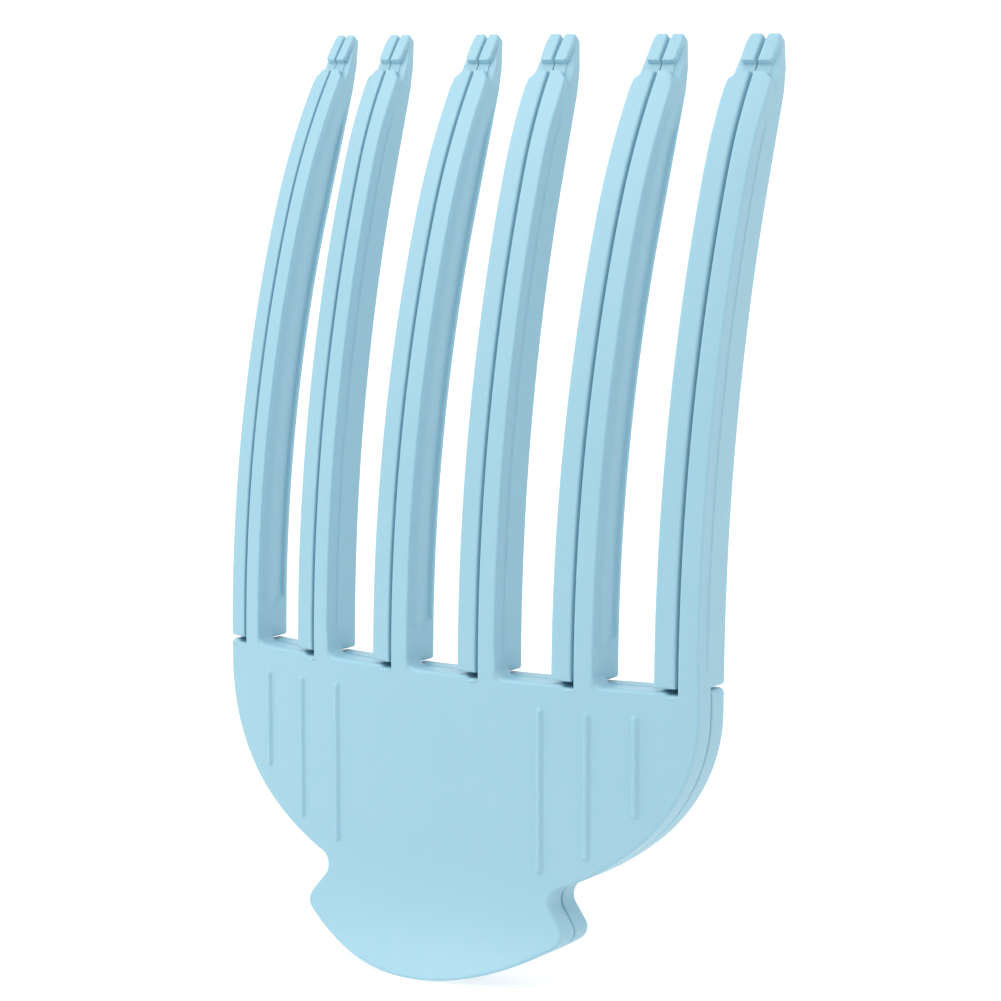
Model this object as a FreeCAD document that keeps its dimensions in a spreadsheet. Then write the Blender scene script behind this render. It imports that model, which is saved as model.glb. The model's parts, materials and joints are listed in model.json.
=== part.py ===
"""Two-layer styling comb clip: a front comb and a rear comb that nest into one curved comb.

Each of the six tines is a pair of strips with a fine slit between them. The front comb carries the
right strip of every pair and the rear comb the left one. Both plates are shells about one vertical
axis behind the object, so the front comb slides sideways on the rear comb along that arc and opens
the slits.

Design axes: X across the tines, Y from the front face towards the back, Z up along the tines. The
design origin is on the front face, in the middle of the line where the tines meet the plate.
Lengths are in millimetres and angles in degrees.
"""
import FreeCAD
import Part
import math
import os
import re
import Sketcher

DIMENSIONS = {
    # Tines, seen from the front
    "tine_pitch": 13.0,
    "strip_width": 2.55,
    "slit_gap": 0.35,
    "tine_height": 78.4,
    "shoulder_height": 73.7,
    "shoulder_drop": 0.75,
    "neck_width": 2.1,
    "head_height": 75.1,
    "head_flare": 0.3,
    "head_width": 2.35,
    "tip_width": 1.55,
    "tip_chamfer": 0.2,
    # Tines, seen from the side: two tangent arcs that lean back, odd tines more than even ones,
    # and a back face that comes closer to the front one up to the bend, then closer still
    "odd_lower_radius": 165.0,
    "odd_bend_height": 56.0,
    "odd_upper_radius": 80.0,
    "odd_bend_depth": 5.7,
    "even_lower_radius": 187.0,
    "even_bend_height": 62.0,
    "even_upper_radius": 55.0,
    "even_bend_depth": 5.1,
    "tip_depth": 1.4,
    # Plates
    "front_radius": 124.0,
    "plate_thickness": 2.9,
    "plate_gap": 0.3,
    "root_clearance": 0.35,
    "foot_radius": 0.8,
    "root_overlap": 2.0,
    "side_drop": 3.0,
    "side_radius": 22.0,
    "side_turn": 50.0,
    # Neck and thumb tab below the plates
    "neck_half_width": 16.8,
    "neck_drop": 27.2,
    "neck_radius": 1.8,
    "hip_angle": 112.8,
    "flank_angle": 218.0,
    "flank_length": 2.6,
    "tab_corner_radius": 1.5,
    "tab_bottom_radius": 34.0,
    "flare_drop": 23.0,
    "flare_radius": 23.0,
    # Raised finger ribs on the outer faces of both plates
    "rib_width": 0.8,
    "rib_height": 0.4,
    "rib_top_drop": 3.0,
    "inner_rib_place": 15.3,
    "rib_spacing": 6.15,
    "inner_rib_drop": 23.9,
    "middle_rib_drop": 21.7,
    "outer_rib_drop": 15.9,
}
TINE_COUNT = 6
SHELL_HALF_ANGLE = 25.0
BLANK_DEPTH = 60.0
SHELL_MARGIN = 2.0

FRONT_VIEW = FreeCAD.Placement(FreeCAD.Vector(0, 0, 0), FreeCAD.Rotation(FreeCAD.Vector(1, 0, 0), 90))
SIDE_VIEW = FreeCAD.Placement(FreeCAD.Vector(0, 0, 0), FreeCAD.Rotation(0.5, 0.5, 0.5, 0.5))

doc = FreeCAD.newDocument("comb_clip")
sheet = doc.addObject("Spreadsheet::Sheet", "dimensions")
for row, (alias, size) in enumerate(DIMENSIONS.items(), start=1):
    sheet.set(f"A{row}", alias)
    sheet.set(f"B{row}", str(size))
    sheet.setAlias(f"B{row}", alias)
doc.recompute()
working = doc.addObject("App::FeaturePython", "working")
working.addProperty("App::PropertyFloat", "result")


def bound(expression):
    """The expression with every cell's alias written as the sheet's own property."""
    def cell(word):
        return f"dimensions.{word.group()}" if word.group() in DIMENSIONS else word.group()
    return re.sub(r"[a-z_]+", cell, str(expression))


def number(expression):
    """The expression's present value."""
    working.setExpression("result", bound(expression))
    working.recompute()
    return working.result


def cosine(angle):
    return f"cos(({angle}) * 1 deg)"


def sine(angle):
    return f"sin(({angle}) * 1 deg)"


# ---------------------------------------------------------------- sketches

def arc_geometry(start, end, radius, turn):
    """The short arc between two points, and which of its ends is which: turn is left or right."""
    chord = end - start
    rise = math.sqrt(max(radius ** 2 - chord.Length ** 2 / 4, 0))
    left = FreeCAD.Vector(-chord.y, chord.x, 0).normalize()
    centre = (start + end) / 2 + left * (rise if turn == "left" else -rise)
    first, last = (start, end) if turn == "left" else (end, start)
    angles = [math.atan2(point.y - centre.y, point.x - centre.x) for point in (first, last)]
    circle = Part.Circle(centre, FreeCAD.Vector(0, 0, 1), radius)
    return Part.ArcOfCircle(circle, angles[0], angles[1]), ((1, 2) if turn == "left" else (2, 1))


def dimension(sketch, kind, places, expression):
    """A sketch dimension whose value is bound to the sheet."""
    index = sketch.addConstraint(Sketcher.Constraint(kind, *places, number(expression)))
    sketch.setExpression(f"Constraints[{index}]", bound(expression))


def add_loop(sketch, corners):
    """A closed loop through corners (across, up, way on): way on is None or (radius, turn)."""
    points = [FreeCAD.Vector(number(across), number(up), 0) for across, up, _ in corners]
    pieces = []
    for index, (_, _, way) in enumerate(corners):
        start, end = points[index], points[(index + 1) % len(points)]
        if way is None:
            geometry, ends = Part.LineSegment(start, end), (1, 2)
        else:
            geometry, ends = arc_geometry(start, end, number(way[0]), way[1])
        pieces.append((sketch.addGeometry(geometry, False), ends))
    for index, (across, up, way) in enumerate(corners):
        piece, (first, last) = pieces[index]
        following, (next_first, _) = pieces[(index + 1) % len(pieces)]
        sketch.addConstraint(Sketcher.Constraint("Coincident", piece, last, following, next_first))
        dimension(sketch, "DistanceX", (-1, 1, piece, first), across)
        dimension(sketch, "DistanceY", (-1, 1, piece, first), up)
        if way is not None:
            dimension(sketch, "Radius", (piece,), way[0])


def new_sketch(name, view, loops):
    sketch = doc.addObject("Sketcher::SketchObject", name)
    sketch.Placement = view
    for corners in loops:
        add_loop(sketch, corners)
    return sketch


# ---------------------------------------------------------------- solids

def front_blank(name, loops):
    """A front-view outline, run straight through from front to back."""
    blank = doc.addObject("Part::Extrusion", name)
    blank.Base = new_sketch(f"{name}_sketch", FRONT_VIEW, loops)
    blank.DirMode = "Custom"
    blank.Dir = FreeCAD.Vector(0, 1, 0)
    blank.LengthFwd = BLANK_DEPTH
    blank.LengthRev = BLANK_DEPTH
    blank.Solid = True
    return blank


def shell(name, corners):
    """A side-view profile, revolved about the vertical axis that both plates share."""
    solid = doc.addObject("Part::Revolution", name)
    solid.Source = new_sketch(f"{name}_sketch", SIDE_VIEW, [corners])
    solid.Axis = FreeCAD.Vector(0, 0, 1)
    solid.setExpression("Base.y", bound("front_radius"))
    solid.Angle = 2 * SHELL_HALF_ANGLE
    solid.Symmetric = True
    solid.Solid = True
    return solid


def common(name, blank, solid):
    piece = doc.addObject("Part::Common", name)
    piece.Base = blank
    piece.Tool = solid
    return piece


# ---------------------------------------------------------------- outlines seen from the front

def slit_place(index):
    return f"({index - (TINE_COUNT - 1) / 2} * tine_pitch)"


def strip_outline(index, side):
    """One strip of a tine: side is 1 for the strip right of the slit and -1 for the left one."""
    inner = "slit_gap / 2"
    outer = f"({inner} + strip_width)"
    points = [
        (inner, "-root_overlap"),
        (outer, "-root_overlap"),
        (outer, "shoulder_height - shoulder_drop"),
        (f"{inner} + neck_width", "shoulder_height"),
        (f"{inner} + neck_width", "head_height"),
        (f"{inner} + head_width", "head_height + head_flare"),
        (f"{inner} + tip_width", "tine_height"),
        (f"{inner} + tip_chamfer", "tine_height"),
        (inner, "tine_height - 2 * tip_chamfer"),
    ]
    return [(f"{slit_place(index)} + {side} * ({across})", up, None) for across, up in points]


def half_plate_outline():
    """The right half of a plate with its neck and thumb tab."""
    half_width = f"({(TINE_COUNT - 1) / 2} * tine_pitch + slit_gap / 2 + strip_width)"
    hip = (f"({half_width} - side_radius * (1 - {cosine('side_turn')}))",
           f"(-side_drop - side_radius * {sine('side_turn')})")
    neck = ("(neck_half_width + neck_radius)", "(-neck_drop)")
    neck_top = (f"({neck[0]} + neck_radius * {cosine('hip_angle')})",
                f"({neck[1]} + neck_radius * {sine('hip_angle')})")
    neck_end = (f"({neck[0]} + neck_radius * {cosine('flank_angle')})",
                f"({neck[1]} + neck_radius * {sine('flank_angle')})")
    flank_end = (f"({neck_end[0]} - flank_length * {sine('flank_angle')})",
                 f"({neck_end[1]} + flank_length * {cosine('flank_angle')})")
    corner = (f"({flank_end[0]} + tab_corner_radius * {cosine('flank_angle')})",
              f"({flank_end[1]} + tab_corner_radius * {sine('flank_angle')})")
    reach = "(tab_bottom_radius - tab_corner_radius)"
    rise = f"sqrt({reach} ^ 2 - {corner[0]} ^ 2)"
    bottom_centre = f"({corner[1]} + {rise})"
    tangent_end = (f"({corner[0]} * tab_bottom_radius / {reach})",
                   f"({bottom_centre} - {rise} * tab_bottom_radius / {reach})")
    run = (f"({neck_top[0]} - {hip[0]})", f"({neck_top[1]} - {hip[1]})")
    inward = f"(-{run[0]} * {cosine('side_turn')} + {run[1]} * {sine('side_turn')})"
    hip_radius = f"(({run[0]} ^ 2 + {run[1]} ^ 2) / (2 * {inward}))"
    return [
        ("0", "0", None),
        (half_width, "0", None),
        (half_width, "-side_drop", ("side_radius", "right")),
        (*hip, (hip_radius, "right")),
        (*neck_top, ("neck_radius", "left")),
        (*neck_end, None),
        (*flank_end, ("tab_corner_radius", "right")),
        (*tangent_end, ("tab_bottom_radius", "right")),
        ("0", f"{bottom_centre} - tab_bottom_radius", None),
    ]


def rib_outline(side, place, drop):
    """One round-ended finger rib."""
    middle = f"{side} * (inner_rib_place + {place} * rib_spacing)"
    end = ("rib_width / 2", "left")
    return [
        (f"{middle} + rib_width / 2", f"-{drop} + rib_width / 2", None),
        (f"{middle} + rib_width / 2", "-rib_top_drop - rib_width / 2", end),
        (middle, "-rib_top_drop", end),
        (f"{middle} - rib_width / 2", "-rib_top_drop - rib_width / 2", None),
        (f"{middle} - rib_width / 2", f"-{drop} + rib_width / 2", end),
        (middle, f"-{drop}", end),
    ]


# ---------------------------------------------------------------- profiles seen from the side

STACK = "(2 * plate_thickness + plate_gap)"
FLARE_SHARE = 0.8


def plate_profile(front, back):
    """A plate between two depths: straight, then flared forwards into the thumb tab."""
    swing = f"(flare_radius * {FLARE_SHARE})"
    foot = f"(flare_drop + {swing})"

    def foot_place(depth):
        return f"(sqrt((flare_radius + {depth}) ^ 2 - {swing} ^ 2) - flare_radius)"

    return [
        (front, str(SHELL_MARGIN), None),
        (front, "-flare_drop", (f"(flare_radius + {front})", "right")),
        (foot_place(front), f"-{foot}", None),
        (foot_place(back), f"-{foot}", (f"(flare_radius + {back})", "left")),
        (back, "-flare_drop", None),
        (back, str(SHELL_MARGIN), None),
    ]


def tine_profile(kind, layer):
    """A tine's full depth above the root, and its own plate's layer below: layer is front or rear."""
    lower, bend, upper = (f"{kind}_{word}" for word in ("lower_radius", "bend_height", "upper_radius"))
    sine_bend = f"({bend} / {lower})"
    cosine_bend = f"sqrt(1 - {sine_bend} ^ 2)"
    bend_front = (f"({lower} * (1 - {cosine_bend}))", bend)
    bend_depth = f"{kind}_bend_depth"
    bend_back = (f"({bend_front[0]} + {bend_depth} * {cosine_bend})",
                 f"({bend} - {bend_depth} * {sine_bend})")
    lean_back = f"({bend_back[0]} - {STACK})"
    sine_tip = f"((tine_height - {bend} + {upper} * {sine_bend}) / {upper})"
    cosine_tip = f"sqrt(1 - {sine_tip} ^ 2)"
    tip_front = (f"({bend_front[0]} + {upper} * ({cosine_bend} - {cosine_tip}))", "tine_height")
    tip_back = (f"({tip_front[0]} + tip_depth * {cosine_tip})", f"(tine_height - tip_depth * {sine_tip})")
    back_lower = f"(({bend_back[1]} ^ 2 + {lean_back} ^ 2) / (2 * {lean_back}))"

    def back_place(height):
        return f"({STACK} + {back_lower} - sqrt({back_lower} ^ 2 - ({height}) ^ 2))"

    def front_place(height):
        return f"({lower} - sqrt({lower} ^ 2 - ({height}) ^ 2))"

    foot_top = "(root_clearance + foot_radius)"
    above = [
        (*bend_front, (upper, "right")),
        (*tip_front, None),
        (*tip_back, None),
    ]
    if layer == "front":
        return [("0", "-root_overlap", None), ("0", "0", (lower, "right"))] + above + [
            (*bend_back, (back_lower, "left")),
            (back_place(foot_top), foot_top, ("foot_radius", "right")),
            (f"({STACK} - foot_radius)", "root_clearance", None),
            ("plate_thickness", "root_clearance", None),
            ("plate_thickness", "-root_overlap", None),
        ]
    inner = "(plate_thickness + plate_gap)"
    return [("foot_radius", "root_clearance", ("foot_radius", "right")),
            (front_place(foot_top), foot_top, (lower, "right"))] + above + [
        (*bend_back, (back_lower, "left")),
        (STACK, "0", None),
        (STACK, "-root_overlap", None),
        (inner, "-root_overlap", None),
        (inner, "root_clearance", None),
    ]


# ---------------------------------------------------------------- the two combs

def comb(layer, side, front, back):
    """One moulding: its plate, its six strips and the finger ribs on its outer face."""
    name = f"{layer}_comb"
    plate_shell = shell(f"{layer}_plate_shell", plate_profile(front, back))
    right_half = common(f"{layer}_plate_right", front_blank(f"{layer}_plate_blank", [half_plate_outline()]),
                        plate_shell)
    left_half = doc.addObject("Part::Mirroring", f"{layer}_plate_left")
    left_half.Source = right_half
    left_half.Base = FreeCAD.Vector(0, 0, 0)
    left_half.Normal = FreeCAD.Vector(1, 0, 0)
    pieces = [right_half, left_half]
    for kind, first in (("odd", 0), ("even", 1)):
        strips = [strip_outline(index, side) for index in range(first, TINE_COUNT, 2)]
        pieces.append(common(f"{layer}_{kind}_strips", front_blank(f"{layer}_{kind}_blank", strips),
                             shell(f"{layer}_{kind}_shell", tine_profile(kind, layer))))
    drops = ("inner_rib_drop", "middle_rib_drop", "outer_rib_drop")
    ribs = [rib_outline(edge, place, drop) for edge in (-1, 1) for place, drop in enumerate(drops)]
    rib_front, rib_back = ("-rib_height", "plate_thickness / 2")
    if layer == "rear":
        rib_front, rib_back = (f"({STACK} - plate_thickness / 2)", f"({STACK} + rib_height)")
    rib_shell = shell(f"{layer}_rib_shell", [
        (rib_front, "0", None),
        (rib_front, "-inner_rib_drop - rib_width", None),
        (rib_back, "-inner_rib_drop - rib_width", None),
        (rib_back, "0", None),
    ])
    pieces.append(common(f"{layer}_ribs", front_blank(f"{layer}_rib_blank", ribs), rib_shell))
    moulding = doc.addObject("Part::MultiFuse", name)
    moulding.Shapes = pieces
    moulding.Refine = True
    moulding.Label = name
    return moulding


INNER_FACE = "(plate_thickness + plate_gap)"
nodes = [
    comb("front", 1, "0", "plate_thickness"),
    comb("rear", -1, INNER_FACE, STACK),
]
doc.removeObject(working.Name)
doc.recompute()


# ---------------------------------------------------------------- checks and files

def check(items, solids):
    for item in items:
        if "Invalid" in item.State or "Error" in item.State:
            raise RuntimeError(f"{item.Name} did not build: {item.State}")
    for solid in solids:
        if solid.Shape.isNull() or not solid.Shape.isValid() or len(solid.Shape.Solids) != 1:
            raise RuntimeError(f"{solid.Label} is not one sound solid")


# The row's own frame has its origin under the middle of the object, on the surface it stands on.
check(doc.Objects, nodes)
boxes = [node.Shape.optimalBoundingBox() for node in nodes]
low = [min(getattr(box, side) for box in boxes) for side in ("XMin", "YMin", "ZMin")]
high = [max(getattr(box, side) for box in boxes) for side in ("XMax", "YMax", "ZMax")]
shift = FreeCAD.Vector(-(low[0] + high[0]) / 2, -(low[1] + high[1]) / 2, -low[2])
for node in nodes:
    node.Placement = FreeCAD.Placement(shift, FreeCAD.Rotation())
doc.recompute()
check(doc.Objects, nodes)
os.makedirs("parts", exist_ok=True)
for node in nodes:
    node.Shape.exportStep(f"parts/{node.Label}.step")
    print(f"{node.Label}: {node.Shape.Volume:.0f} mm3")
print("overall size", [round(top - bottom, 2) for bottom, top in zip(low, high)])
print("slide arc's axis at", [round(place, 3) for place in (shift.x, shift.y + DIMENSIONS["front_radius"])])
print("root line at height", round(shift.z, 3))
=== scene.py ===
"""A light blue comb clip: two plastic mouldings, nested face to face, on a pale studio floor."""

import json
import math

import bmesh
import bpy
import numpy as np
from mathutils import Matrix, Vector


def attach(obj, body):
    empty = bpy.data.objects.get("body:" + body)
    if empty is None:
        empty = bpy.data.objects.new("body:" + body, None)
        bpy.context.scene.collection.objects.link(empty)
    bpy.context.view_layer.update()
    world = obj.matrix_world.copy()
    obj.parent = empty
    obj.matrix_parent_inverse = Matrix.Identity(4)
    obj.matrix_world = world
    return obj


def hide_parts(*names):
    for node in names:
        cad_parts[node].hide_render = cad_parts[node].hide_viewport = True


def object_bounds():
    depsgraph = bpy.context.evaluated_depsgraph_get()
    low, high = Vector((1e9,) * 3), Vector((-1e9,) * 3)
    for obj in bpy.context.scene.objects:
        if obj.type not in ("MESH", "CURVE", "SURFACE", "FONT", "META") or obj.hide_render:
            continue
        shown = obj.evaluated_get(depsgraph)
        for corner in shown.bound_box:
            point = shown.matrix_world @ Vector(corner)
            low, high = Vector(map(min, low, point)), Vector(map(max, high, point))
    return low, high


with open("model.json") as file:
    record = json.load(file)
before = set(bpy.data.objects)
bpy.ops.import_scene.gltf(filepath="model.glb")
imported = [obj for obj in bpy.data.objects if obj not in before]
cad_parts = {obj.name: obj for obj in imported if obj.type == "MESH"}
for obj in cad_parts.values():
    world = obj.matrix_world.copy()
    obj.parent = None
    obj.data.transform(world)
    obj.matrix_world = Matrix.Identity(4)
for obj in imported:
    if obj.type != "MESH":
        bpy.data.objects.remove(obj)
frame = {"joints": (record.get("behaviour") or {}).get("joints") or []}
cad_low, cad_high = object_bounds()

# ------------------------------------------------------------------ camera
# One long lens on a stand, to the clip's right and a little below its tips. It looks slightly down,
# so the tines' inner sides and the plates' right-hand edges show.

camera = bpy.data.objects.new("camera", bpy.data.cameras.new("camera"))
bpy.context.scene.collection.objects.link(camera)
camera.location = (0.22576, -0.33941, 0.11340)
camera.rotation_euler = (math.radians(90) - 0.1352, 0, 0.582)
camera.data.lens = 117.3
camera.data.sensor_width = 36.0
camera.data.clip_start = 0.01
bpy.context.scene.camera = camera
bpy.context.scene.view_settings.view_transform = "Standard"

# ------------------------------------------------------------------ front comb
# The comb that faces the user: a curved plate with a thumb tab and finger ribs, and the right-hand
# strip of each tine, in one polypropylene moulding. It lies against the rear comb and slides
# sideways on it. Both combs share the plastic, the outline and the curved form set out here.


class Wire:
    """One socket of a node tree. Each operation on it adds the Math node that works it out."""

    def __init__(self, tree, socket):
        self.tree = tree
        self.socket = socket

    def node(self, kind, settings=None, inputs=None, output=0):
        """Any node of this wire's tree: its settings first, then the values or wires of its sockets."""
        made = self.tree.nodes.new(kind)
        for name, value in (settings or {}).items():
            setattr(made, name, value)
        for key, value in (inputs or {}).items():
            if isinstance(value, Wire):
                self.tree.links.new(value.socket, made.inputs[key])
            else:
                made.inputs[key].default_value = value
        return Wire(self.tree, made.outputs[output])

    def math(self, operation, *values):
        return self.node("ShaderNodeMath", {"operation": operation}, dict(enumerate(values)))

    def __add__(self, other):
        return self.math("ADD", self, other)

    __radd__ = __add__

    def __sub__(self, other):
        return self.math("SUBTRACT", self, other)

    def __rsub__(self, other):
        return self.math("SUBTRACT", other, self)

    def __mul__(self, other):
        return self.math("MULTIPLY", self, other)

    __rmul__ = __mul__

    def __truediv__(self, other):
        return self.math("DIVIDE", self, other)

    def root(self):
        return self.math("SQRT", self)

    def least(self, other):
        return self.math("MINIMUM", self, other)

    def most(self, other):
        return self.math("MAXIMUM", self, other)


# The plastic is light blue all through and satin, with the fine grain of a spark-eroded tool and
# faint flow marks where it filled the mould.

DEEP_BLUE = (0.295, 0.525, 0.640, 1)
PALE_BLUE = (0.322, 0.555, 0.660, 1)


def comb_plastic():
    made = bpy.data.materials.new("comb_plastic")
    made.use_nodes = True
    tree = made.node_tree
    shader = tree.nodes["Principled BSDF"]
    place = Wire(tree, tree.nodes.new("ShaderNodeTexCoord").outputs["Object"])
    flow = place.node(
        "ShaderNodeTexNoise", {}, {"Vector": place, "Scale": 45.0, "Detail": 3.0, "Roughness": 0.5})
    grain = place.node("ShaderNodeTexNoise", {}, {"Vector": place, "Scale": 5200.0, "Detail": 2.0})
    colour = place.node(
        "ShaderNodeMix", {"data_type": "RGBA"}, {0: flow, 6: DEEP_BLUE, 7: PALE_BLUE}, output=2)
    rough = 0.36 + 0.08 * flow + 0.06 * grain
    bump = place.node(
        "ShaderNodeBump", {}, {"Height": grain, "Strength": 0.05, "Distance": 0.00004})
    for name, wire in (("Base Color", colour), ("Roughness", rough), ("Normal", bump)):
        tree.links.new(wire.socket, shader.inputs[name])
    shader.inputs["IOR"].default_value = 1.49
    shader.inputs["Subsurface Weight"].default_value = 0.2
    shader.inputs["Subsurface Radius"].default_value = (0.4, 0.75, 1.0)
    shader.inputs["Subsurface Scale"].default_value = 0.0008
    return made


PLASTIC = comb_plastic()

# Each comb is drawn flat first, in millimetres: x across the tines, y from the plate's outer face
# into the depth, z up from the root line. A plate, with one strip of each tine standing on it.

TINE_COUNT = 6
PITCH = 13.0
HALF_SLIT = 0.175
STRIP_WIDTH = 2.55
PLATE_DEPTH = 2.9
FULL_DEPTH = 6.1
FOOT_HEIGHT = 0.35
TINE_HEIGHT = 78.4
SHOULDER_HEIGHT = 72.95
HEAD_HEIGHT = 75.5
HEAD_WIDTH = 2.3
TIP_WIDTH = 1.6
TIP_LEAN = 0.1
TIP_LEAN_DROP = 1.3
NOTCH_DEPTH = 0.35
NOTCH_TOP = 1.8
NOTCH_FLOOR = 1.25
ROOT_FILLET = 1.2
HALF_WIDTH = (TINE_COUNT - 1) / 2 * PITCH + HALF_SLIT + STRIP_WIDTH
SLITS = [(index - (TINE_COUNT - 1) / 2) * PITCH for index in range(TINE_COUNT)]


def arc(centre, radius, start, end, step=5.0):
    """Points along an arc, both ends included: angles in degrees."""
    count = math.ceil(abs(end - start) / step) + 1
    return [(centre[0] + radius * math.cos(math.radians(angle)),
             centre[1] + radius * math.sin(math.radians(angle)))
            for angle in np.linspace(start, end, count)]


def rounded(corners, step=18.0):
    """The path through corners (x, z, radius), open ended, with each corner turned to an arc."""
    path = [corners[0][:2]]
    for before, (x, z, radius), after in zip(corners, corners[1:], corners[2:]):
        corner = np.array((x, z))
        back = np.array(before[:2]) - corner
        on = np.array(after[:2]) - corner
        back, on = back / np.linalg.norm(back), on / np.linalg.norm(on)
        half = math.acos(float(np.clip(back @ on, -1, 1))) / 2
        middle = (back + on) / np.linalg.norm(back + on)
        centre = corner + middle * radius / math.sin(half)
        first, last = (corner + way * radius / math.tan(half) - centre for way in (back, on))
        start, end = (math.degrees(math.atan2(spoke[1], spoke[0])) for spoke in (first, last))
        turn = (end - start + 180) % 360 - 180
        path += arc(centre, radius, start, start + turn, step)
    return path + [corners[-1][:2]]


def tine_corners(slit, last):
    """From the notch in the plate's top edge, up the slit, over the tip and down the other side."""
    inner, outer = slit + HALF_SLIT, slit + HALF_SLIT + STRIP_WIDTH
    corners = [
        (inner - NOTCH_TOP, 0, 0.5),
        (inner - NOTCH_FLOOR, -NOTCH_DEPTH, 0.4),
        (inner, -NOTCH_DEPTH, 0.15),
        (inner, TINE_HEIGHT - TIP_LEAN_DROP, 0.6),
        (inner + TIP_LEAN, TINE_HEIGHT, 0.35),
        (inner + TIP_WIDTH, TINE_HEIGHT, 0.4),
        (inner + HEAD_WIDTH, HEAD_HEIGHT, 1.5),
        (outer, SHOULDER_HEIGHT, 1.5),
    ]
    return corners + ([] if last else [(outer, 0, ROOT_FILLET)])


def plate_side():
    """The right side from the root line down to the middle of the thumb tab's bottom edge."""
    side_radius, side_turn, side_top = 22.0, 50.0, -3.0
    neck = (18.6, -27.2)
    neck_radius, hip_angle, flank_angle, flank_length = 1.8, 112.8, 218.0, 2.6
    tab_corner, tab_bottom = 1.5, 34.0
    turn, flank = math.radians(side_turn), math.radians(flank_angle)
    path = arc((HALF_WIDTH - side_radius, side_top), side_radius, 0, -side_turn, 3.0)
    hip = path[-1]
    neck_path = arc(neck, neck_radius, hip_angle, flank_angle, 8.0)
    run = (neck_path[0][0] - hip[0], neck_path[0][1] - hip[1])
    inward = -run[0] * math.cos(turn) + run[1] * math.sin(turn)
    hip_radius = (run[0] ** 2 + run[1] ** 2) / (2 * inward)
    hip_centre = (hip[0] - hip_radius * math.cos(turn), hip[1] + hip_radius * math.sin(turn))
    spoke = (neck_path[0][0] - hip_centre[0], neck_path[0][1] - hip_centre[1])
    hip_end = math.degrees(math.atan2(spoke[1], spoke[0]))
    path += arc(hip_centre, hip_radius, -side_turn, hip_end, 1.5)[1:-1] + neck_path
    x, z = path[-1]
    x, z = x - flank_length * math.sin(flank), z + flank_length * math.cos(flank)
    corner = (x + tab_corner * math.cos(flank), z + tab_corner * math.sin(flank))
    rise = math.sqrt((tab_bottom - tab_corner) ** 2 - corner[0] ** 2)
    meets = math.degrees(math.atan2(-rise, corner[0]))
    path += arc(corner, tab_corner, flank_angle - 180, meets, 8.0)
    return path + arc((0, corner[1] + rise), tab_bottom, meets, -90, 1.5)[1:]


def moulding_outline():
    """The whole outline, clockwise from the plate's left side."""
    right = plate_side()
    corners = [(-HALF_WIDTH, right[0][1], 0), (-HALF_WIDTH, 0, 0.65)]
    for slit in SLITS:
        corners += tine_corners(slit, slit == SLITS[-1])
    corners.append((*right[0], 0))
    return rounded(corners)[:-1] + right + [(-x, z) for x, z in reversed(right[:-1])][:-1]


def near(value, wanted):
    return abs(value - wanted) < 1e-3


def split_at_feet(outline):
    """The outline as its plate, its strips and the flared bits of their root fillets."""
    plate, strips, flares = [], [], []
    strip = None
    for here, following in zip(outline, outline[1:] + outline[:1]):
        (plate if strip is None else strip).append(here)
        if (here[1] - FOOT_HEIGHT) * (following[1] - FOOT_HEIGHT) >= 0:
            continue
        share = (FOOT_HEIGHT - here[1]) / (following[1] - here[1])
        crossing = (here[0] + share * (following[0] - here[0]), FOOT_HEIGHT)
        if strip is None:
            plate.append(crossing)
            strip = [crossing]
            continue
        side = (strip[0][0] + STRIP_WIDTH, FOOT_HEIGHT)
        if near(crossing[0], side[0]):
            strips.append(strip + [crossing])
        else:
            widest = max(index for index, point in enumerate(strip) if near(point[0], side[0]))
            strips.append(strip[:widest + 1] + [side])
            flares.append([side] + strip[widest:] + [crossing])
            plate.append(side)
        plate.append(crossing)
        strip = None
    return plate, strips, flares


def smooth(low, high, value):
    """0 up to the first place, 1 from the second one on, and an even S between them."""
    share = np.clip((value - low) / (high - low), 0, 1)
    return share * share * (3 - 2 * share)


RIM = 0.26
FOOT_RIM = 0.25
FOOT_BACK_RIM = 0.5
BACK_RIM = 0.15
BACK_RIM_TOP = 0.3
SIDE_TOP = -1
SIDE_RIM_GAIN = 0.14
SIDE_RIM_START = -3
SIDE_RIM_RUN = 17
SHARP_TURN = 0.6
LEVEL_SHARE = (0.3, 0.85)


def rim_radius(edge, top_rim):
    """How far an edge of the flat moulding is rounded, or 0 where it stays as it is."""
    (x0, y0, z0), (x1, y1, z1) = (vert.co for vert in edge.verts)
    z = (z0 + z1) / 2
    if edge.calc_face_angle(0) < SHARP_TURN or not edge.is_convex:
        return 0
    if near(z0, FOOT_HEIGHT) and near(z1, FOOT_HEIGHT):
        return FOOT_BACK_RIM if near(y0, FULL_DEPTH) and near(y1, FULL_DEPTH) else FOOT_RIM
    if near(y0, PLATE_DEPTH) and near(y1, PLATE_DEPTH):
        return BACK_RIM if z < BACK_RIM_TOP else 0
    if not near(y0, y1):
        return 0
    if z < SIDE_TOP:
        return RIM + SIDE_RIM_GAIN * min(max(SIDE_RIM_START - z, 0) / SIDE_RIM_RUN, 1)
    level = abs(x1 - x0) / edge.calc_length() if z < ROOT_FILLET else 0
    return RIM + (top_rim - RIM) * smooth(*LEVEL_SHARE, level)


def is_strip_back(face):
    """Whether a face of the plate's back plane belongs to a strip, and so goes deeper."""
    middle = face.calc_center_median()
    return (all(near(vert.co.y, PLATE_DEPTH) for vert in face.verts) and middle.z > ROOT_FILLET
            and any(slit < middle.x < slit + HALF_SLIT + STRIP_WIDTH for slit in SLITS))


def deepen(bm, faces, depth):
    """Pushes faces straight back, with walls behind them."""
    made = bmesh.ops.extrude_face_region(bm, geom=faces)["geom"]
    verts = [item for item in made if isinstance(item, bmesh.types.BMVert)]
    bmesh.ops.translate(bm, verts=verts, vec=(0, depth, 0))


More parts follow.
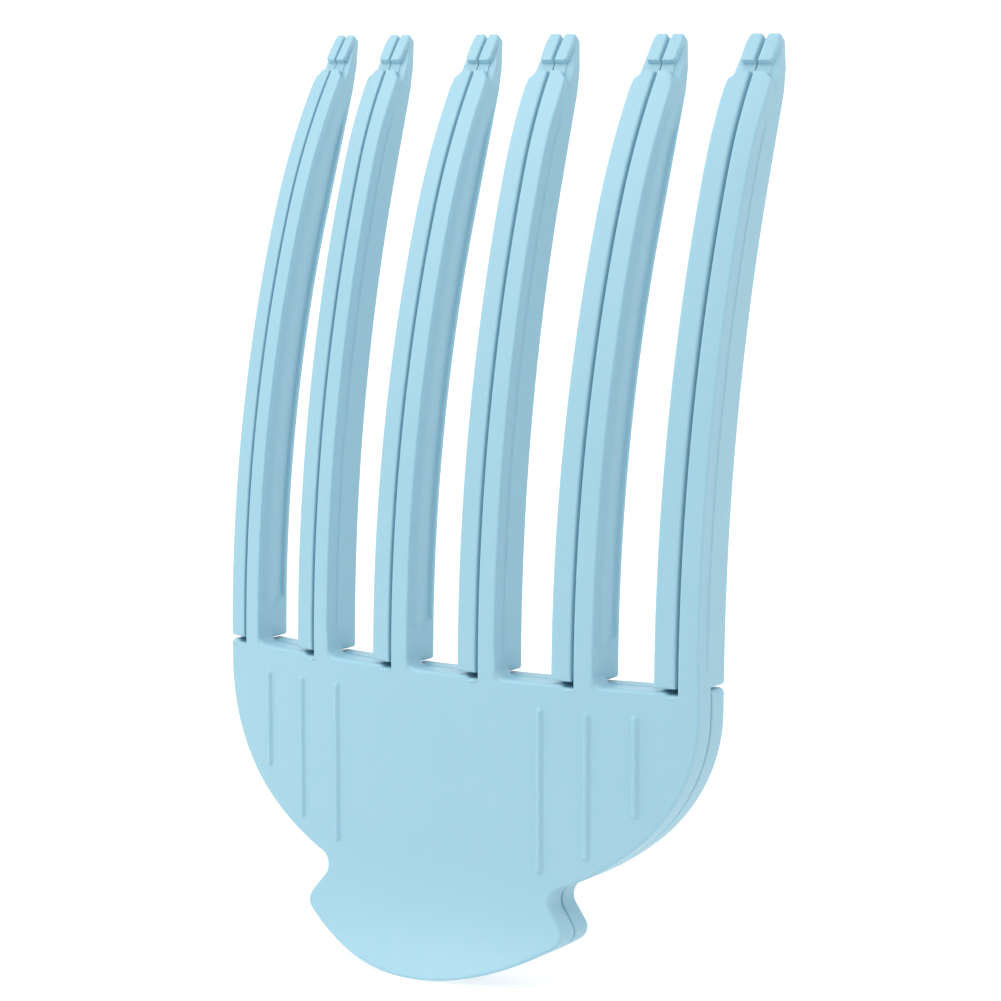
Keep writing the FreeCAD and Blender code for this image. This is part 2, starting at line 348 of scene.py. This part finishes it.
def flat_moulding(name, top_rim):
    """The flat comb as one closed mesh with rounded rims."""
    bm = bmesh.new()
    corners = {}
    plate, strips, flares = split_at_feet(moulding_outline())
    for ring in [plate, *strips, *flares]:
        for x, z in ring:
            key = (round(x, 4), round(z, 4))
            if key not in corners:
                corners[key] = bm.verts.new((x, 0, z))
        bm.faces.new([corners[round(x, 4), round(z, 4)] for x, z in ring])
    deepen(bm, bm.faces[:], PLATE_DEPTH)
    backs = [face for face in bm.faces if is_strip_back(face)]
    deepen(bm, backs, FULL_DEPTH - PLATE_DEPTH)
    bmesh.ops.delete(bm, geom=backs, context="FACES_ONLY")
    bmesh.ops.recalc_face_normals(bm, faces=bm.faces)
    mesh = bpy.data.meshes.new(name)
    bm.to_mesh(mesh)
    weights = mesh.attributes.new("bevel_weight_edge", "FLOAT", "EDGE")
    weights.data.foreach_set("value", [rim_radius(edge, top_rim) for edge in bm.edges])
    bm.free()
    flat = bpy.data.objects.new(name, mesh)
    bpy.context.scene.collection.objects.link(flat)
    bevel = flat.modifiers.new("rims", "BEVEL")
    bevel.limit_method = "WEIGHT"
    bevel.offset_type = "OFFSET"
    bevel.width = 1.0
    bevel.segments = 4
    bevel.use_clamp_overlap = False
    return flat


# The curves and hollows need more edges than the flat outline has. They are cut across it here:
# closely over the ribs, the necks and the ends of the hollows, and evenly between them.

RIBS = [(15.3, 23.9), (21.45, 21.7), (27.6, 15.9)]
RIB_TOP = 3.0
RIB_CREST = 0.12
RIB_REACH = 0.62
RIB_CUTS = (-0.62, -0.5, -0.38, -0.26, -0.14, 0, 0.14, 0.26, 0.38, 0.5, 0.62)
ACROSS = [*np.arange(-34, 35, 2.0)]
ACROSS += [side * (place + offset) for side in (-1, 1) for place, _ in RIBS for offset in RIB_CUTS]
DEEP = [0.45, 0.65, 0.85, 1.3, 1.6, 2.0, 2.15, 3.6, 3.9, 4.5, 4.8, 5.2, 5.45, 5.65]
UPWARDS = [*np.arange(-38, -22.5, 0.75), *np.arange(-22.5, -1, 1.5)]
UPWARDS += [-RIB_TOP - RIB_REACH + offset for offset in RIB_CUTS]
UPWARDS += [-drop + RIB_REACH + offset for _, drop in RIBS for offset in RIB_CUTS]
UPWARDS += [*np.arange(1.3, 7.5, 0.35), *np.arange(8, 73, 1.25)]
UPWARDS += [73.3, 73.78, 73.9, 74.4, 74.98, 75.1, 75.4, 76.2, 77.2]


def cut(bm, point, normal):
    geometry = [*bm.verts, *bm.edges, *bm.faces]
    bmesh.ops.bisect_plane(bm, geom=geometry, dist=0.004, plane_co=point, plane_no=normal)


def refined(flat, name):
    """The bevelled flat moulding with enough edges across it to be reshaped, as a new mesh."""
    bm = bmesh.new()
    bm.from_mesh(flat.evaluated_get(bpy.context.evaluated_depsgraph_get()).data)
    bpy.data.objects.remove(flat)
    for edge in bm.edges:
        edge.seam = False
    wide = [face for face in bm.faces if len(face.verts) > 4]
    for edge in bmesh.ops.triangulate(bm, faces=wide)["edges"]:
        edge.seam = True
    for place in ACROSS:
        cut(bm, (place, 0, 0), (1, 0, 0))
    for place in DEEP:
        cut(bm, (0, place, 0), (0, 1, 0))
    for place in UPWARDS:
        cut(bm, (0, 0, place), (0, 0, 1))
    spare = [edge for edge in bm.edges if edge.seam and edge.calc_face_angle(1) < 0.01]
    bmesh.ops.dissolve_edges(bm, edges=spare, use_verts=False)
    mesh = bpy.data.meshes.new(name)
    bm.to_mesh(mesh)
    bm.free()
    return mesh


# The mould leaves a shallow hollow down the outer side of each odd tine and a ledge down that of
# each even one, draws the heads in above a grooved neck, and closes the slit behind its rims.
# A triple is a rise and the two places that it happens between, and a pair is two such places.

SIDE_BAND = 0.3
SIDE_FOOT = 1.25
LEDGE = 0.14
LEDGE_EDGE = (2.0, 2.15)
LEDGE_FOOT = (1.5, 4.0)
LEDGE_TOP = (66, 71)
HOLLOW_FLOOR = [(0.22, 0.45, 0.85), (-0.12, 0.85, 2.3), (0.26, 2.3, 5.2)]
HOLLOW_EDGE = (5.2, 5.4)
HOLLOW_FOOT = 4.2
HOLLOW_FOOT_RISE = (1.3, 3.0, 5.3)
HOLLOW_FOOT_RUN = 0.5
HOLLOW_TOP = (66, 72)
DRAWN_IN = [(0.85, 72.6, 73.7), (-0.3, 75.05, 75.4), (-0.55, 75.4, 78)]
DRAWN_IN_DEPTH = (2.2, 1.6)
DRAWN_IN_WIDTH = (HALF_SLIT + 1.2, HALF_SLIT + 2.3)
NECK_FOOT = 73.8
NECK_TOP = 75.05
NECK_GROOVE = 1.3
NECK_SLOPE = 0.03
WALL_BAND = 0.02
WALL_SHIFT = (0.1, 0.45, 0.65)
WALL_FOOT = (0.4, 1.3)


def total(rises, value):
    """How much a list of (rise, low, high) adds up to at a place."""
    return sum(rise * smooth(low, high, value) for rise, low, high in rises)


def tine_index(x):
    """Which tine a place across the comb belongs to, from 0 at the left."""
    return np.clip(np.floor((x - SLITS[0]) / PITCH), 0, TINE_COUNT - 1)


def relieve(place, odd, turned):
    """Cuts the outer sides' hollows and ledges, the heads' taper, the neck grooves and the slit walls."""
    x, y, z = place.T
    across = x - SLITS[0] - tine_index(x) * PITCH
    outer_side = (across > HALF_SLIT + STRIP_WIDTH - SIDE_BAND) & (z > SIDE_FOOT)
    ledge = LEDGE * (1 - smooth(*LEDGE_EDGE, y)) * smooth(*LEDGE_FOOT, z) * (1 - smooth(*LEDGE_TOP, z))
    foot = HOLLOW_FOOT + total([HOLLOW_FOOT_RISE], y)
    hollow = (total(HOLLOW_FLOOR, y) * (1 - smooth(*HOLLOW_EDGE, y))
              * smooth(foot, foot + HOLLOW_FOOT_RUN, z) * (1 - smooth(*HOLLOW_TOP, z)))
    x = x - np.where(outer_side, np.where(odd, hollow, ledge), 0)
    front = FULL_DEPTH - y if turned else y
    x = x - total(DRAWN_IN, z) * smooth(*DRAWN_IN_DEPTH, front) * smooth(*DRAWN_IN_WIDTH, across)
    slit_wall = (across < HALF_SLIT + WALL_BAND) & (across > 0) & (z > WALL_FOOT[0])
    x = x - np.where(slit_wall, total([WALL_SHIFT], front) * smooth(*WALL_FOOT, z), 0)
    in_neck = (z > NECK_FOOT) & (z < NECK_TOP)
    groove = NECK_GROOVE - NECK_SLOPE * (NECK_GROOVE - front)
    front = np.where(in_neck, np.maximum(front, groove), front)
    y = FULL_DEPTH - front if turned else front
    return np.stack((x, y, z), axis=1)


# The flat comb is then bent to its form: the plates lie on an upright cylinder, the tines lean back
# in two arcs, odd ones more than even ones, the thumb tabs flare forwards, and ribs stand off the
# faces. The cylinder's axis is the one that the combs slide round.

MM = 0.001
slide = frame["joints"][0]
shell_axis = slide["pos_m"][1] / MM
SHELL_RADIUS = 124.0
FORM_SIZES = {
    "Shell Radius": SHELL_RADIUS,
    "Front Place": shell_axis - SHELL_RADIUS,
    "Root Height": cad_high.z / MM - TINE_HEIGHT,
    "Tine Height": TINE_HEIGHT,
    "Odd Lower Radius": 165.0,
    "Odd Bend Height": 56.0,
    "Odd Upper Radius": 80.0,
    "Odd Bend Depth": 5.7,
    "Even Lower Radius": 187.0,
    "Even Bend Height": 62.0,
    "Even Upper Radius": 55.0,
    "Even Bend Depth": 5.1,
    "Full Depth": FULL_DEPTH,
    "Tip Depth": 1.4,
    "Kept Rim": 0.4,
    "Flare Drop": 23.0,
    "Flare Radius": 23.0,
    "Rib Top": RIB_TOP,
    "Rib Height": 0.4,
    "Rib Face": 0.0,
    "Rib Way": -1.0,
    "Unit": MM,
}


def comb_form():
    tree = bpy.data.node_groups.new("comb_form", "GeometryNodeTree")
    tree.interface.new_socket("Geometry", in_out="INPUT", socket_type="NodeSocketGeometry")
    tree.interface.new_socket("Geometry", in_out="OUTPUT", socket_type="NodeSocketGeometry")
    for name in FORM_SIZES:
        tree.interface.new_socket(name, in_out="INPUT", socket_type="NodeSocketFloat")
    tree.interface.new_socket("Plastic", in_out="INPUT", socket_type="NodeSocketMaterial")
    entry = tree.nodes.new("NodeGroupInput")
    size = {name: Wire(tree, entry.outputs[name]) for name in (*FORM_SIZES, "Geometry", "Plastic")}
    position = Wire(tree, tree.nodes.new("GeometryNodeInputPosition").outputs[0])
    x, y, z = (position.node("ShaderNodeSeparateXYZ", {}, {0: position}, output=index)
               for index in range(3))
    odd = position.node("GeometryNodeInputNamedAttribute", {"data_type": "FLOAT"}, {"Name": "odd"})

    # Ribs: a low rounded ridge over each rib's line, on the plate's outer face only.
    raised = 0
    for place, drop in RIBS:
        beside = position.math("ABSOLUTE", x) - place
        beyond = (z + size["Rib Top"] + RIB_REACH).most(RIB_REACH - drop - z).most(0)
        distance = (beside * beside + beyond * beyond).root()
        raised = raised + position.node(
            "ShaderNodeMapRange", {"interpolation_type": "SMOOTHSTEP"},
            {"Value": distance, "From Min": RIB_CREST, "From Max": RIB_REACH, "To Min": 1.0, "To Max": 0.0})
    on_face = position.math("LESS_THAN", position.math("ABSOLUTE", y - size["Rib Face"]), 0.01)
    depth = y + size["Rib Way"] * size["Rib Height"] * raised * on_face

    # Lean: how far back a tine's front stands at each height, on its lower arc and its upper one.
    lower, bend, upper, bend_depth = (
        size[f"Even {word}"] + (size[f"Odd {word}"] - size[f"Even {word}"]) * odd
        for word in ("Lower Radius", "Bend Height", "Upper Radius", "Bend Depth"))
    rise = z.most(0)
    above = (rise - bend).most(0)
    past_bend = position.math("GREATER_THAN", above, 0)
    low_sine = rise.least(bend) / lower
    sine = low_sine + above / upper
    cosine = (1 - sine * sine).root()
    bend_sine = bend / lower
    bend_cosine = (1 - bend_sine * bend_sine).root()
    leaned = lower * (1 - (1 - low_sine * low_sine).root()) + upper * (
        (bend_cosine - cosine) * past_bend)

    # Thinning: the back nears the front along an arc up to the bend, then straight to the tip.
    tip_sine = bend_sine + (size["Tine Height"] - bend) / upper
    tip_cosine = (1 - tip_sine * tip_sine).root()
    bend_back = lower - (lower - bend_depth) * bend_cosine
    bend_back_height = bend - bend_depth * bend_sine
    back_lean = bend_back - size["Full Depth"]
    back_radius = (bend_back_height * bend_back_height + back_lean * back_lean) / (2 * back_lean)
    offset = size["Full Depth"] + back_radius - lower
    swing = offset * low_sine
    low_thinned = lower + offset * (1 - low_sine * low_sine).root() - (
        back_radius * back_radius - swing * swing).root()
    tip_lean = lower * (1 - bend_cosine) + upper * (bend_cosine - tip_cosine)
    tip_back = tip_lean + size["Tip Depth"] * tip_cosine
    tip_back_height = size["Tine Height"] - size["Tip Depth"] * tip_sine
    along, up = tip_back - bend_back, tip_back_height - bend_back_height
    high_thinned = ((bend_back - leaned) * up - (bend_back_height - rise) * along) / (
        cosine * up + sine * along)
    lost = size["Full Depth"] - low_thinned - (high_thinned - low_thinned) * past_bend
    rim = size["Kept Rim"]
    depth = depth - lost * ((depth - rim) / (size["Full Depth"] - 2 * rim)).most(0).least(1)

    # The thumb tab's flare, then the whole moulding wrapped on its cylinder and put in metres.
    flare = (0 - z - size["Flare Drop"]).most(0)
    reach = size["Flare Radius"] + depth * cosine
    back = leaned + (reach * reach - flare * flare).root() - size["Flare Radius"]
    height = z.least(0) + rise - depth * sine
    radius = size["Shell Radius"] - back
    wrapped = size["Shell Radius"] - (radius * radius - x * x).root()
    unit = size["Unit"]
    formed = position.node("ShaderNodeCombineXYZ", {}, {
        "X": x * unit,
        "Y": (size["Front Place"] + wrapped) * unit,
        "Z": (size["Root Height"] + height) * unit,
    })
    placed = position.node(
        "GeometryNodeSetPosition", {}, {"Geometry": size["Geometry"], "Position": formed})
    whole = position.node("GeometryNodeRealizeInstances", {}, {"Geometry": placed})
    finished = position.node(
        "GeometryNodeSetMaterial", {}, {"Geometry": whole, "Material": size["Plastic"]})
    leave = tree.nodes.new("NodeGroupOutput")
    tree.links.new(finished.socket, leave.inputs["Geometry"])
    return tree


FORM = comb_form()


def moulded_comb(name, turned, top_rim):
    """One comb: the flat moulding, refined and relieved, turned round for the rear, then formed."""
    mesh = refined(flat_moulding(f"{name}_flat", top_rim), f"{name}_mesh")
    place = np.zeros(len(mesh.vertices) * 3)
    mesh.vertices.foreach_get("co", place)
    place = place.reshape(-1, 3)
    odd = tine_index(place[:, 0]) % 2 == (1 if turned else 0)
    place = relieve(place, odd, turned)
    if turned:
        place = place * (-1, -1, 1) + (0, FULL_DEPTH, 0)
    mesh.vertices.foreach_set("co", place.ravel())
    mesh.attributes.new("odd", "FLOAT", "POINT").data.foreach_set("value", odd.astype(float))
    mesh.shade_smooth()
    mesh.set_sharp_from_angle(angle=math.radians(28))
    comb = bpy.data.objects.new(name, mesh)
    bpy.context.scene.collection.objects.link(comb)
    form = comb.modifiers.new("form", "NODES")
    form.node_group = FORM
    sizes = dict(FORM_SIZES)
    if turned:
        sizes.update({"Rib Face": FULL_DEPTH, "Rib Way": 1.0})
    sockets = {item.name: item.identifier for item in FORM.interface.items_tree if item.in_out == "INPUT"}
    for word, value in sizes.items():
        form[sockets[word]] = value
    form[sockets["Plastic"]] = PLASTIC
    normals = comb.modifiers.new("normals", "WEIGHTED_NORMAL")
    normals.keep_sharp = True
    evaluated = comb.evaluated_get(bpy.context.evaluated_depsgraph_get())
    plain = bpy.data.meshes.new_from_object(evaluated)
    comb.modifiers.clear()
    comb.data = plain
    return comb


front_comb = moulded_comb("front_moulding", turned=False, top_rim=0.5)
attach(front_comb, "front_comb")
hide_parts("front_comb")

# ------------------------------------------------------------------ rear comb
# Its partner: the rear plate with its own thumb tab and ribs, and the left-hand strip of each tine,
# moulded in one of the same plastic. It is the front comb's shape turned round, nested against it.

rear_comb = moulded_comb("rear_moulding", turned=True, top_rim=0.6)
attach(rear_comb, "rear_comb")
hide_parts("rear_comb")

# ------------------------------------------------------------------ studio
# A pale paper floor that sweeps up through a quarter circle into a backdrop, white surroundings that
# are brighter overhead and a little darker on the right, and one large soft lamp.


def studio_paper():
    made = bpy.data.materials.new("studio_paper")
    made.use_nodes = True
    shader = made.node_tree.nodes["Principled BSDF"]
    shader.inputs["Base Color"].default_value = (0.35, 0.35, 0.35, 1)
    shader.inputs["Roughness"].default_value = 0.9
    shader.inputs["Emission Color"].default_value = (1, 1, 1, 1)
    shader.inputs["Emission Strength"].default_value = 0.72
    return made


def sweep():
    half_width, near_edge, bend_start, bend_radius, top = 2.5, -2.0, 0.6, 0.5, 2.4
    bend = [(bend_start + across, bend_radius + up)
            for across, up in arc((0, 0), bend_radius, -90, 0, 6)]
    profile = [(near_edge, 0.0), *bend, (bend_start + bend_radius, top)]
    mesh = bpy.data.meshes.new("sweep")
    verts = [(side * half_width, y, z) for y, z in profile for side in (-1, 1)]
    faces = [(2 * row, 2 * row + 1, 2 * row + 3, 2 * row + 2) for row in range(len(profile) - 1)]
    mesh.from_pydata(verts, [], faces)
    mesh.shade_smooth()
    mesh.materials.append(studio_paper())
    made = bpy.data.objects.new("sweep", mesh)
    bpy.context.scene.collection.objects.link(made)
    return made


sweep()

world = bpy.data.worlds.new("studio")
world.use_nodes = True
around = Wire(world.node_tree, world.node_tree.nodes.new("ShaderNodeTexCoord").outputs["Generated"])
rightwards, _, upwards = (around.node("ShaderNodeSeparateXYZ", {}, {0: around}, output=index)
                          for index in range(3))
glow = 0.45 + 1.1 * upwards.most(0) - 0.1 * rightwards
background = world.node_tree.nodes["Background"].inputs
world.node_tree.links.new(glow.socket, background["Strength"])
background["Color"].default_value = (0.97, 0.99, 1, 1)
bpy.context.scene.world = world

lamp_place = Vector((-0.50, -0.82, 1.0))
lamp_aim = Vector((0, 0, 0.06))
lamp = bpy.data.objects.new("key", bpy.data.lights.new("key", "AREA"))
lamp.data.shape = "DISK"
lamp.data.size = 1.1
lamp.data.energy = 6.5
lamp.data.color = (1.0, 0.95, 0.88)
lamp.location = lamp_place
lamp.rotation_euler = (lamp_aim - lamp_place).to_track_quat("-Z", "Y").to_euler()
bpy.context.scene.collection.objects.link(lamp)
